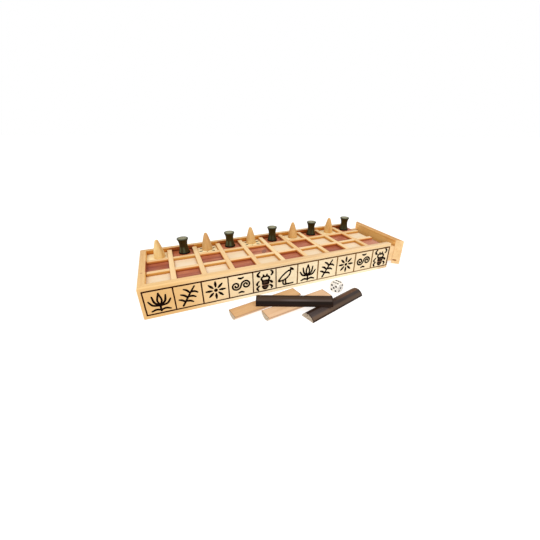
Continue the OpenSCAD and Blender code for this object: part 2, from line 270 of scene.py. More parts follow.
def recess(g, c, pale=SIDE_PALE, pale_base_shade=SIDE_PALE_BASE_SHADE, red=SIDE_RED, red_base_shade=SIDE_RED_BASE_SHADE, inner_only=False):
    """mix the recess's side colours over c: painted shade on the upright sides, tinted by the squares beside them"""
    x, y, z = box_mm(g)
    n = g.sep(g.normal())
    # painted shade: upright faces take the darker side colour
    side = g.step(g.math("ABSOLUTE", n[2]), 0.88, 0.6)
    # painted shade: darker towards the base, where the sides meet the squares
    low = g.step(z, DECK + 3.2, DECK + 0.2)
    # beside stained squares the sides turn red: partly stain, partly painted light reflected from them
    par = cell_parity(g)
    col = g.mix(par, g.mix(low, lin(pale), lin(pale_base_shade)), g.mix(low, lin(red), lin(red_base_shade)))
    mask = side
    if inner_only:
        inside = g.math("MULTIPLY", g.math("GREATER_THAN", x, WALL - 0.4), g.math("LESS_THAN", x, IN_L + 0.3))
        inside = g.math("MULTIPLY", inside, g.math("GREATER_THAN", y, WALL - 0.4))
        inside = g.math("MULTIPLY", inside, g.math("LESS_THAN", y, BOX_W - WALL + 0.4))
        mask = g.math("MULTIPLY", side, inside)
        mask = g.math("MULTIPLY", mask, g.math("GREATER_THAN", z, DECK - 0.1))
    return g.mix(mask, c, col)


def wall_colour(base_l, dark_l, base_r, dark_r, front=None, pale=(204, 134, 44), pale_base_shade=(172, 92, 18),
                red=(172, 88, 26), red_base_shade=(108, 42, 8)):
    """honey-coloured board that grows paler to the right, partly its own tone and partly painted light from the right;
    front paints the ornamented face
    """

    def f(g, grain):
        x, y, z = box_mm(g)
        # painted light in part: the board is painted paler towards the right, partly its own tone
        t = g.step(x, 0.0, 360.0, smooth=False)
        c = g.mix(grain, g.mix(t, lin(base_l), lin(base_r)), g.mix(t, lin(dark_l), lin(dark_r)))
        if front:
            n = g.sep(g.normal())
            face = g.step(n[1], -0.55, -0.85)
            patch = g.step(g.noise(g.obj(), 28.0, 2.0), 0.35, 0.7)
            fl = g.mix(g.math("MULTIPLY", patch, 0.45), lin(front[0]), lin(front[1]))
            fr = g.mix(g.math("MULTIPLY", patch, 0.35), lin(front[2]), lin(front[3]))
            # the front's right part is painted paler still: partly the wood's own tone, partly painted light from the
            # right
            fr = g.mix(g.step(x, 180.0, 345.0), g.mix(g.math("MULTIPLY", patch, 0.3), lin((255, 240, 204)), lin((250, 226, 184))), fr)
            fc = g.mix(g.step(x, 35.0, 160.0), fl, fr)
            upper = g.math("MULTIPLY", g.step(z, 38.6, 40.0), g.step(x, 20.0, 160.0))
            fc = g.mix(g.math("MULTIPLY", upper, 0.8), fc, lin((228, 190, 134)))
            lower = g.math("MULTIPLY", g.step(z, 4.6, 3.6), g.math("MULTIPLY", g.step(x, 60.0, 160.0), g.step(x, 366.0, 350.0)))
            fc = g.mix(g.math("MULTIPLY", lower, 0.8), fc, lin((252, 238, 204)))
            corner = g.math("MULTIPLY", g.step(z, 4.8, 3.6), g.step(x, 350.0, 368.0))
            fc = g.mix(g.math("MULTIPLY", corner, 0.85), fc, lin((206, 166, 118)))
            fc = g.mix(g.math("MULTIPLY", grain, 0.6), fc, g.mix(t, lin(front[1]), lin(front[3])))
            c = g.mix(face, c, fc)
        return recess(g, c, pale=pale, pale_base_shade=pale_base_shade, red=red, red_base_shade=red_base_shade, inner_only=True)

    return f


def with_knot(colour, at, size):
    def f(g, grain):
        c = colour(g, grain)
        d = g.vmath("DISTANCE", g.obj(), tuple(at))
        ring = g.step(d, size * 2.4, size * 0.9)
        core = g.step(d, size, size * 0.55)
        c = g.mix(g.math("MULTIPLY", ring, 0.5), c, lin((204, 148, 88)))
        return g.mix(g.math("MULTIPLY", core, 0.8), c, lin((150, 94, 50)))

    return f


def plain(base, dark):
    return lambda g, grain: g.mix(grain, lin(base), lin(dark))


# ---------------------------------------------------------------------------
# fine shaping of CAD nodes: weld the exported mesh and ease its sharp edges
# ---------------------------------------------------------------------------
def ease(node, width_mm, segments=2, angle=32):
    o = NODES[node]
    w = o.modifiers.new("weld", "WELD")
    w.merge_threshold = 2e-6
    b = o.modifiers.new("ease", "BEVEL")
    b.width = width_mm / 1000
    b.segments = segments
    b.limit_method = "ANGLE"
    b.angle_limit = math.radians(angle)
    b.harden_normals = False
    b.miter_outer = "MITER_ARC"
    b.use_clamp_overlap = True


def paint(mat, *nodes):
    for n in nodes:
        o = NODES[n]
        o.data.materials.clear()
        o.data.materials.append(mat)


# walls -----------------------------------------------------------------------
BASE_L, DARK_L = (236, 195, 132), (205, 152, 88)
BASE_R, DARK_R = (238, 209, 168), (213, 171, 120)
FRONT = ((224, 180, 117), (208, 161, 97), (236, 214, 176), (230, 202, 158))
paint(wood("wall_front_wood", None, None, "x", 1.0, colour=wall_colour(BASE_L, DARK_L, BASE_R, DARK_R, FRONT)), "wall_front")
back_wall = wall_colour((222, 180, 115), (193, 140, 76), (227, 197, 154), (203, 161, 109))
paint(wood("wall_back_wood", None, None, "x", 2.0, colour=back_wall), "wall_back")
left_wall = wall_colour(BASE_L, DARK_L, BASE_R, DARK_R, pale=(240, 190, 112), pale_base_shade=(224, 162, 84), red=(196, 112, 66), red_base_shade=(152, 66, 32))
paint(wood("wall_left_wood", None, None, "y", 3.0, colour=with_knot(left_wall, P(4.83, 40.36, 43.5), 0.0011)), "wall_left")
for n in ("wall_front", "wall_back", "wall_left"):
    ease(n, 0.35)

paint(wood("bottom_wood", (205, 168, 118), (176, 134, 84), "x", 4.0, rough=0.6), "bottom_panel")
paint(wood("deck_wood", (190, 148, 98), (156, 112, 66), "x", 5.0, rough=0.6), "deck_panel")
paint(wood("runner_wood", (200, 156, 104), (168, 120, 72), "x", 6.0, rough=0.55), "runner_front", "runner_back")
for n in ("bottom_panel", "runner_front", "runner_back"):
    ease(n, 0.25)


# squares ---------------------------------------------------------------------
def tile_colour(base, alt, dark, edge, spread, seed, far, end_square_sheen=None):
    def f(g, grain):
        tone = cell_tone(g, seed)
        x, y, z = box_mm(g)
        cloud = g.step(g.noise(g.mapped(g.obj(), (40, 110, 90)), 1.0, 2.0), 0.3, 0.7)
        k = g.math("ADD", g.math("MULTIPLY", tone, spread), g.math("MULTIPLY", cloud, 1.0 - spread))
        c = g.mix(grain, g.mix(k, lin(base), lin(alt)), lin(dark))
        # painted light: the far row is painted lighter and warmer, lifting it out of the shade it lies in, and the
        # stained square nearest the drawer's end is painted lighter as a painted sheen
        row = g.math("GREATER_THAN", y, WALL + 2 * ROW_W + DIV_W * 1.5)
        c = g.mix(g.math("MULTIPLY", row, far[1]), c, lin(far[0]))
        if end_square_sheen:
            near = g.math("MULTIPLY", g.math("GREATER_THAN", x, DIV_X0 + 8 * PITCH), g.math("LESS_THAN", y, WALL + ROW_W))
            c = g.mix(g.math("MULTIPLY", near, end_square_sheen[1]), c, lin(end_square_sheen[0]))
        # darker along the square's own rim beside the cross dividers: partly grime, partly painted shade in the crease
        u = g.math("ABSOLUTE", g.math("SUBTRACT", g.math("FRACT", g.math("DIVIDE", g.math("SUBTRACT", x, DIV_X0 - PITCH), PITCH)), 0.5))
        rim = g.step(g.math("MULTIPLY", u, PITCH), PITCH / 2 - DIV_W / 2 - 1.6, PITCH / 2 - DIV_W / 2)
        return g.mix(g.math("MULTIPLY", rim, 0.5), c, lin(edge))

    return f


paint(wood("tile_pale_wood", None, None, "x", 7.0, figure=0.3, fibre=0.25, rough=0.4,
           colour=tile_colour((236, 212, 174), (246, 226, 198), (226, 192, 144), (216, 170, 112), 0.6, 3.0, ((255, 236, 184), 0.85))), "tiles_light")
paint(wood("tile_red_wood", None, None, "x", 8.0, figure=0.6, fibre=0.6, rough=0.4,
           colour=tile_colour((156, 64, 36), (214, 142, 104), (138, 54, 30), (110, 38, 16), 0.6, 11.0, ((204, 112, 62), 0.45), ((214, 148, 118), 0.6))), "tiles_red")

# dividers --------------------------------------------------------------------
def divider_colour(base, dark):
    return lambda g, grain: recess(g, g.mix(grain, lin(base), lin(dark)))


for i, (n, c1, c2) in enumerate((("long_divider_front", (245, 212, 162), (224, 178, 120)),
                                 ("long_divider_back", (238, 200, 144), (214, 164, 104)))):
    paint(wood(n + "_wood", None, None, "x", 9.0 + i, figure=0.45, colour=divider_colour(c1, c2)), n)
for k in range(1, 10):
    n = "cross_divider_%d" % k
    paint(wood(n + "_wood", None, None, "y", 11.0 + k * 1.7, figure=0.45,
               colour=divider_colour((248, 213 + (k % 3) * 3, 158 + (k % 3) * 5), (226, 178, 116))), n)


# drawer ----------------------------------------------------------------------
def plate_colour(g, grain):
    """inner face darker and more orange than the edges and the mitred ends, as painted shade on the face turned from
    the light; darker painted shade bands, a painted shadow by the wall's end, and a low strip painted pale as painted
    light
    """
    n = g.sep(g.normal())
    inner = g.step(n[0], -0.8, -0.95)
    x, y, z = box_mm(g)
    cloud = g.step(g.noise(g.mapped(g.obj(), (30, 14, 30)), 1.0, 2.0), 0.35, 0.7)
    ci = g.mix(grain, lin((252, 198, 120)), lin((236, 174, 94)))
    ci = g.mix(g.math("MULTIPLY", cloud, 0.35), ci, lin((255, 210, 140)))
    # painted shade: darker bands below the top edge and across the middle height of the inner face
    ci = g.mix(g.math("MULTIPLY", g.math("MULTIPLY", g.step(z, 38.2, 39.6), g.step(z, 42.6, 41.2)), 0.5), ci, lin((214, 132, 56)))
    ci = g.mix(g.math("MULTIPLY", g.math("MULTIPLY", g.step(z, 33.0, 28.0), g.step(z, 12.0, 20.0)), 0.45), ci, lin((206, 134, 66)))
    # painted shadow in the gap where the drawer side's top meets the plate behind the wall's end
    gap_shadow = g.math("MULTIPLY", g.step(y, 17.0, 12.0), g.step(z, 37.5, 33.5))
    ci = g.mix(g.math("MULTIPLY", gap_shadow, 0.75), ci, lin((176, 112, 44)))
    ci = g.mix(g.math("MULTIPLY", g.step(y, 24.0, 44.0), 0.5), ci, g.mix(grain, lin((255, 210, 128)), lin((252, 186, 98))))
    # painted light: the inner face's lowest strip, below the drawer side, is painted pale against its shade
    ci = g.mix(g.step(z, 6.2, 5.4), ci, lin((250, 226, 190)))
    co = g.mix(grain, lin((246, 212, 158)), lin((224, 180, 122)))
    co = g.mix(g.step(n[2], 0.6, 0.9), co, g.mix(grain, lin((210, 153, 78)), lin((190, 130, 62))))
    return g.mix(inner, co, ci)


paint(wood("plate_wood", None, None, "y", 30.0, figure=0.5, colour=plate_colour), "drawer_plate")
paint(wood("drawer_side_wood", (242, 206, 156), (226, 186, 130), "x", 31.0), "drawer_side_front", "drawer_side_back")
paint(wood("drawer_rear_wood", (222, 186, 138), (196, 150, 98), "y", 32.0), "drawer_rear")
paint(wood("drawer_bottom_wood", (206, 164, 112), (178, 130, 80), "x", 33.0, rough=0.6), "drawer_bottom")
paint(wood("dowel_wood", (196, 146, 92), (160, 108, 60), "x", 34.0, rough=0.6), "drawer_dowels")
ease("drawer_plate", 0.5)
for n in ("drawer_side_front", "drawer_side_back", "drawer_rear", "drawer_bottom"):
    ease(n, 0.3)


# playing pieces --------------------------------------------------------------
CONES = (((240, 210, 146), (210, 162, 92)), ((222, 181, 119), (196, 142, 80)), ((236, 202, 138), (208, 158, 92)),
         ((224, 180, 114), (197, 140, 76)), ((234, 194, 124), (206, 152, 84)))
for k in range(1, 6):
    paint(wood("cone_%d_wood" % k, *CONES[k - 1], "z", 40.0 + k * 2.3, figure=0.7, rough=0.4), "cone_%d" % k)


SPOOLS = ((62.9, 104.8), (134.6, 104.9), (208.6, 104.0), (285.7, 105.4), (358.3, 106.1))
SPOOL_H = 23.7


def spool_colour(at, glint_tone):
    """black-green stain, pale on the top face with a darker ring round it; grey-green painted reflections on the flared
    foot; black towards the foot's lower edge as painted shade
    """

    def f(g, grain):
        nv = g.normal()
        n = g.sep(nv)
        x, y, z = box_mm(g)
        top = g.math("MULTIPLY", g.step(n[2], 0.93, 0.99), g.step(z, DECK + SPOOL_H - 1.2, DECK + SPOOL_H - 0.4))
        streak = g.step(g.noise(g.mapped(g.obj(), (420, 420, 26)), 1.0, 2.0), 0.4, 0.62)
        c = g.mix(grain, lin((60, 46, 12)), lin((34, 25, 6)))
        # painted reflection: grey-green glints on the flared foot where its facing turns towards two set directions
        flat = g.vmath("NORMALIZE", g.vmath("MULTIPLY", nv, (1, 1, 0)))
        foot_glint = g.math("MAXIMUM", g.step(g.vmath("DOT_PRODUCT", flat, (-0.86, -0.51, 0)), 0.90, 0.985),
                     g.step(g.vmath("DOT_PRODUCT", flat, (-0.12, -0.993, 0)), 0.945, 0.99))
        foot_glint = g.math("MULTIPLY", foot_glint, g.math("ADD", 0.55, g.math("MULTIPLY", streak, 0.45)))
        low = g.math("MULTIPLY", g.step(z, DECK + 12.0, DECK + 8.5), g.step(z, DECK + 1.6, DECK + 3.4))
        c = g.mix(g.math("MULTIPLY", foot_glint, low), c, lin(glint_tone))
        # painted shade: black towards the foot's lower edge, where it stands on the square
        c = g.mix(g.step(z, DECK + 3.0, DECK + 1.4), c, lin((8, 3, 1)))
        c = g.mix(g.step(z, DECK + SPOOL_H - 1.6, DECK + SPOOL_H - 0.9), c, lin((64, 64, 44)))
        r = g.math("MULTIPLY", g.vmath("DISTANCE", g.vmath("MULTIPLY", g.obj(), (1, 1, 0)), tuple(P(*at, 0))), 1000.0)
        ring = g.step(r, 5.0, 6.6)
        ct = g.mix(grain, lin((148, 144, 114)), lin((118, 116, 88)))
        return g.mix(top, c, g.mix(g.math("MULTIPLY", ring, 0.9), ct, lin((74, 78, 60))))

    return f


for k in range(1, 6):
    paint(wood("spool_%d_wood" % k, None, None, "z", 50.0 + k * 1.9, figure=0.6, rough=0.36, 
               colour=spool_colour(SPOOLS[k - 1], (80, 90, 62) if k < 3 else (60, 64, 40)), spec=0.12), "spool_%d" % k)


# throwing sticks ---------------------------------------------------------------
STICKS = {   # left end x, y in box mm, turn, flat side up, width, thickness
    "stick_light_left": (98.9, -38.1, 9.8, True, 19.0, 7.5),
    "stick_light_right": (135.5, -55.3, 8.9, True, 19.0, 7.5),
    "stick_dark_top": (134.4, -25.9, -23.7, False, 20.0, 8.9),
    "stick_dark_right": (183.1, -74.7, 15.9, False, 20.0, 7.5),
}


STICK_L = 97.6


def stick_colour(name, pale, pale_dark, mid, low, edge, gloss=None, ends=None, far=None):
    """bare flat side, stained round side with darker long edges, bare end grain; a painted highlight streak on the
    glossy round side, and painted shade on it where another stick shades it
    """
    x0, y0, turn, flat_up, w, h = STICKS[name]
    a = math.radians(turn)
    along, across = (math.cos(a), math.sin(a), 0), (-math.sin(a), math.cos(a), 0)
    origin = tuple(P(x0, y0, 0))

    def f(g, grain):
        n = g.normal()
        nz = g.sep(n)[2]
        rel = g.vmath("SUBTRACT", g.obj(), origin)
        v = g.math("DIVIDE", g.math("MULTIPLY", g.vmath("DOT_PRODUCT", rel, across), 1000.0), w / 2)
        u = g.math("MULTIPLY", g.vmath("DOT_PRODUCT", rel, along), 1000.0)
        end = g.step(g.math("ABSOLUTE", g.vmath("DOT_PRODUCT", n, along)), 0.7, 0.9)
        flat = g.step(nz, 0.80, 0.93) if flat_up else g.step(nz, -0.80, -0.93)
        round_c = g.mix(grain, lin(mid), lin(edge))
        if gloss:
            # painted highlight: a lighter streak along the round side, weak at the start and fading partly towards the
            # far end
            lit = g.math("MULTIPLY", g.step(v, -0.36, -0.56), g.step(v, -0.73, -0.64))
            lit = g.math("MULTIPLY", lit, g.math("ADD", 0.15, g.math("MULTIPLY", g.step(u, 22.0, 46.0), 0.75)))
            lit = g.math("MULTIPLY", lit, g.math("SUBTRACT", 1.0, g.math("MULTIPLY", g.step(u, 55.0, 80.0), 0.45)))
            round_c = g.mix(lit, round_c, lin(gloss))
            round_c = g.mix(g.step(v, -0.66, -0.74), round_c, lin(low))
        else:
            # near long side: for the light sticks a lighter tone, painted light against the shade where they rest on
            # the floor
            round_c = g.mix(g.step(v, -0.5, -0.75), round_c, lin(low))
        off = g.math("ABSOLUTE", g.math("SUBTRACT", u, STICK_L / 2))
        rim = g.math("MAXIMUM", g.step(v, -0.12, 0.1), g.step(v, -0.88, -0.95))
        if not flat_up:
            rim = g.math("MAXIMUM", rim, g.math("MULTIPLY", g.step(off, STICK_L / 2 - 2.0, STICK_L / 2 - 0.9), 0.8))
        round_c = g.mix(g.math("MULTIPLY", rim, 0.92), round_c, lin(edge))
        if far:
            # painted shade in part: far[3] darkens the round side from 22 mm along to the end, where the top stick
            # shades it about 40 mm along; further on it is the stick's own darker tone
            if far[3]:
                round_c = g.mix(g.math("MULTIPLY", g.step(u, 22.0, 60.0), far[3]), round_c, lin((0, 0, 0)))
            warm = g.math("MULTIPLY", g.step(v, far[0], far[0] + 0.2), g.step(u, far[1], far[1] + 35.0))
            round_c = g.mix(g.math("MULTIPLY", warm, 0.75), round_c, lin(far[2]))
        c = g.mix(flat, round_c, g.mix(grain, lin(pale), lin(pale_dark)))
        if flat_up:
            border = g.math("MAXIMUM", g.step(g.math("ABSOLUTE", v), 0.88, 0.96),
                            g.step(off, STICK_L / 2 - 1.3, STICK_L / 2 - 0.5))
            c = g.mix(g.math("MULTIPLY", g.math("MULTIPLY", border, flat), 0.75), c, lin((158, 112, 72)))
        rings = g.step(g.noise(g.obj(), 900.0, 2.0), 0.4, 0.65)
        return g.mix(end, c, g.mix(rings, lin(ends[0]), lin(ends[1])))

    return f


END_PALE, END_GREY = ((200, 182, 156), (150, 130, 104)), ((192, 176, 155), (126, 108, 90))
for n, pale, pd, mid, low, edge, gloss, ends, far in (
    ("stick_light_left", (222, 180, 132), (202, 152, 100), (222, 184, 146), (226, 190, 154), (190, 152, 118), None, END_PALE, None),
    ("stick_light_right", (238, 202, 166), (216, 172, 128), (226, 190, 156), (230, 196, 164), (194, 156, 124), None, END_PALE, None),
    ("stick_dark_top", (212, 162, 108), (186, 128, 74), (74, 56, 43), (26, 15, 9), (36, 18, 7), (90, 80, 77), END_GREY, (0.12, -40.0, (102, 62, 38), 0.0)),
    ("stick_dark_right", (212, 162, 108), (186, 128, 74), (78, 68, 66), (100, 80, 66), (44, 24, 12), None, END_GREY, (-0.3, 40.0, (106, 74, 56), 0.3)),
):
    turn = STICKS[n][2]
    paint(wood(n + "_wood", None, None, "x", 60.0 + turn * 0.3, figure=0.5, rough=0.4, turn=turn,
               colour=stick_colour(n, pale, pd, mid, low, edge, gloss, ends, far), spec=0.1), n)
    ease(n, 0.35, 2, 35)


# die ---------------------------------------------------------------------------
def plastic(name, base, dark, rough, coat=0.0, scale=220.0, amount=0.3, spec=0.5):
    g = Graph(name)
    nz = g.noise(g.obj(), scale, 3.0)
    g.put(g.bsdf.inputs["Base Color"], g.mix(g.math("MULTIPLY", g.step(nz, 0.35, 0.7), amount), lin(base), lin(dark)))
    g.put(g.bsdf.inputs["Roughness"], g.math("ADD", rough, g.math("MULTIPLY", nz, 0.08)))
    if coat:
        g.bsdf.inputs["Coat Weight"].default_value = coat
        g.bsdf.inputs["Coat Roughness"].default_value = 0.12
    g.bsdf.inputs["Specular IOR Level"].default_value = spec
    g.bump(nz, 0.05, 0.0002)
    return g.mat


paint(plastic("die_ivory", (255, 251, 244), (244, 234, 218), 0.25, 0.4, 90.0, 0.5), "die")
paint(plastic("die_pip_paint", (6, 4, 2), (14, 10, 6), 0.7, spec=0.05), "die_pips")


# ---------------------------------------------------------------------------
# painted ornament: strokes and small filled shapes, a tenth of a millimetre
# proud of the wood
# ---------------------------------------------------------------------------
def spline(points, per=6, closed=False):
    """Catmull-Rom through points of any dimension"""
    n = len(points)
    out = []
    segs = n if closed else n - 1
    for i in range(segs):
        if closed:
            p0, p1, p2, p3 = (points[(i + k - 1) % n] for k in range(4))
        else:
            p1, p2 = points[i], points[i + 1]
            p0 = points[i - 1] if i else tuple(2 * a - b for a, b in zip(p1, p2))
            p3 = points[i + 2] if i + 2 < n else tuple(2 * a - b for a, b in zip(p2, p1))
        for k in range(per):
            t = k / per
            out.append(tuple(0.5 * (2 * b + (c - a) * t + (2 * a - 5 * b + 4 * c - d) * t * t
                                    + (3 * b - a - 3 * c + d) * t ** 3)
                             for a, b, c, d in zip(p0, p1, p2, p3)))
    if not closed:
        out.append(tuple(points[-1]))
    return out


class Ink:
    """collects flat shapes drawn in a plane (u, v) and lifts them off the surface"""

    def __init__(self, name, place, lift):
        self.bm = bmesh.new()
        self.name, self.place, self.lift, self.n = name, place, lift, 0

    def _put(self, u, v, top):
        h = self.lift + 0.004 * (self.n % 7) if top else -0.05
        return self.bm.verts.new(self.place(u, v, h))

    def stroke(self, pts, per=5, straight=False):
        """pts are (u, v, width)"""
        s = [tuple(p) for p in pts] if straight else spline(pts, per)
        L, R = [], []
        for i, p in enumerate(s):
            a, b = s[max(i - 1, 0)], s[min(i + 1, len(s) - 1)]
            d = Vector((b[0] - a[0], b[1] - a[1]))
            d = d.normalized() if d.length > 1e-9 else Vector((1, 0))
            w = max(p[2], 0.3) / 2
            L.append((p[0] - d.y * w, p[1] + d.x * w))
            R.append((p[0] + d.y * w, p[1] - d.x * w))
        d0 = Vector((s[1][0] - s[0][0], s[1][1] - s[0][1])).normalized()
        d1 = Vector((s[-1][0] - s[-2][0], s[-1][1] - s[-2][1])).normalized()

        def cap(c, w, d, start):
            base = math.atan2(d.y, d.x)
            a0 = base + math.pi / 2 if start else base - math.pi / 2
            return [(c[0] + w * math.cos(a0 + math.pi * k / 5), c[1] + w * math.sin(a0 + math.pi * k / 5)) for k in range(1, 5)]

        loop = R + cap(s[-1], max(s[-1][2], 0.3) / 2, d1, False) + L[::-1] + cap(s[0], max(s[0][2], 0.3) / 2, d0, True)
        nR, nL = len(R), len(L)
        top = [self._put(u, v, True) for u, v in loop]
        low = [self._put(u, v, False) for u, v in loop]
        k = len(loop)
        capn = 4
        Rt = top[:nR]
        c1 = top[nR:nR + capn]
        Lt = top[nR + capn:nR + capn + nL][::-1]
        c0 = top[nR + capn + nL:]
        for i in range(nR - 1):
            self.bm.faces.new((Rt[i], Rt[i + 1], Lt[i + 1], Lt[i]))
        self.bm.faces.new([Rt[-1], *c1, Lt[-1]])
        self.bm.faces.new([Lt[0], *c0, Rt[0]])
        for i in range(k):
            self.bm.faces.new((top[i], low[i], low[(i + 1) % k], top[(i + 1) % k]))
        self.n += 1

    def blob(self, pts, per=5, sharp=False):
        """filled closed shape, star-shaped about its middle"""
        s = [tuple(p) for p in pts] if sharp else spline(pts, per, closed=True)
        area = sum(a[0] * b[1] - b[0] * a[1] for a, b in zip(s, s[1:] + s[:1]))
        if area < 0:
            s = s[::-1]
        top = [self._put(u, v, True) for u, v in s]
        low = [self._put(u, v, False) for u, v in s]
        k = len(s)
        c = self._put(sum(p[0] for p in s) / k, sum(p[1] for p in s) / k, True)
        for i in range(k):
            self.bm.faces.new((c, top[i], top[(i + 1) % k]))
            self.bm.faces.new((top[i], low[i], low[(i + 1) % k], top[(i + 1) % k]))
        self.n += 1

    def done(self, mat, body):
        bmesh.ops.recalc_face_normals(self.bm, faces=self.bm.faces)
        me = bpy.data.meshes.new(self.name)
        self.bm.to_mesh(me)
        self.bm.free()
        o = bpy.data.objects.new(self.name, me)
        scene.collection.objects.link(o)
        me.materials.append(mat)
        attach(o, body)
        return o


def ink_paint(name, base, worn, rough=0.62, amount=0.7, right=None, thin=None):
    """brushed pigment: darker where it pooled, thinner and browner where it ran out"""
    g = Graph(name)
    pool = g.step(g.noise(g.obj(), 210.0, 3.0, 0.6), 0.4, 0.68)
    fibre = g.step(g.noise(g.mapped(g.obj(), (90, 1400, 1400)), 1.0, 2.0), 0.45, 0.75)
    f = g.math("ADD", g.math("MULTIPLY", pool, amount), g.math("MULTIPLY", fibre, 0.25), clamp=True)
    c = g.mix(f, lin(base), lin(worn))
    if right:
        x, y, z = box_mm(g)
        c = g.mix(g.step(x, 60.0, 330.0, smooth=False), c, g.mix(f, lin(right[0]), lin(right[1])))
    if thin:
        x, y, z = box_mm(g)
        t = g.math("MULTIPLY", g.step(x, 165.0, 225.0), g.step(x, 362.0, 338.0))
        t = g.math("MULTIPLY", t, g.step(z, 37.4, 36.2, 0.35, 1.0))
        c = g.mix(t, c, g.mix(f, lin(thin[0]), lin(thin[1])))
    g.put(g.bsdf.inputs["Base Color"], c)
    g.put(g.bsdf.inputs["Roughness"], g.math("ADD", rough, g.math("MULTIPLY", pool, 0.15)))
    g.bsdf.inputs["Specular IOR Level"].default_value = 0.02
    g.bump(fibre, 0.15, 0.0002)
    return g.mat


BAND_X0, BAND_Z0, PANEL, BAND_H = 4.7, 5.2, 33.6, 32.4


def on_front(k):
    def place(u, v, h):
        return P(BAND_X0 + PANEL * k + u, -h, BAND_Z0 + v)

    return place


# each figure is a list of ("s", strokes) and ("b", outlines) in millimetres
def petal_ring(cu, cv, n, radii, turn=0.0):
    """short brush petals that point away from a centre"""
    out = []
    for i in range(n):
        a = turn + 2 * math.pi * i / n
        out.append(("s", [(cu + r * math.cos(a), cv + r * math.sin(a), w) for r, w in radii]))
    return out


def mirrored(strokes, cu=16.8):
    """the strokes and their mirror images about an upright line"""
    return strokes + [(kind, [(2 * cu - q[0],) + tuple(q[1:]) for q in pts]) for kind, pts in strokes]


def scroll(cu, cv, reach, turns, n=26):
    """one half of a running scroll: it winds outwards and ends level with its centre"""
    out = []
    for i in range(n):
        t = i / (n - 1)
        a, r = -2 * math.pi * turns * (1 - t), 1.3 + (reach - 1.3) * t
        out.append((cu + r * math.cos(a), cv + r * math.sin(a), 1.3))
    return out


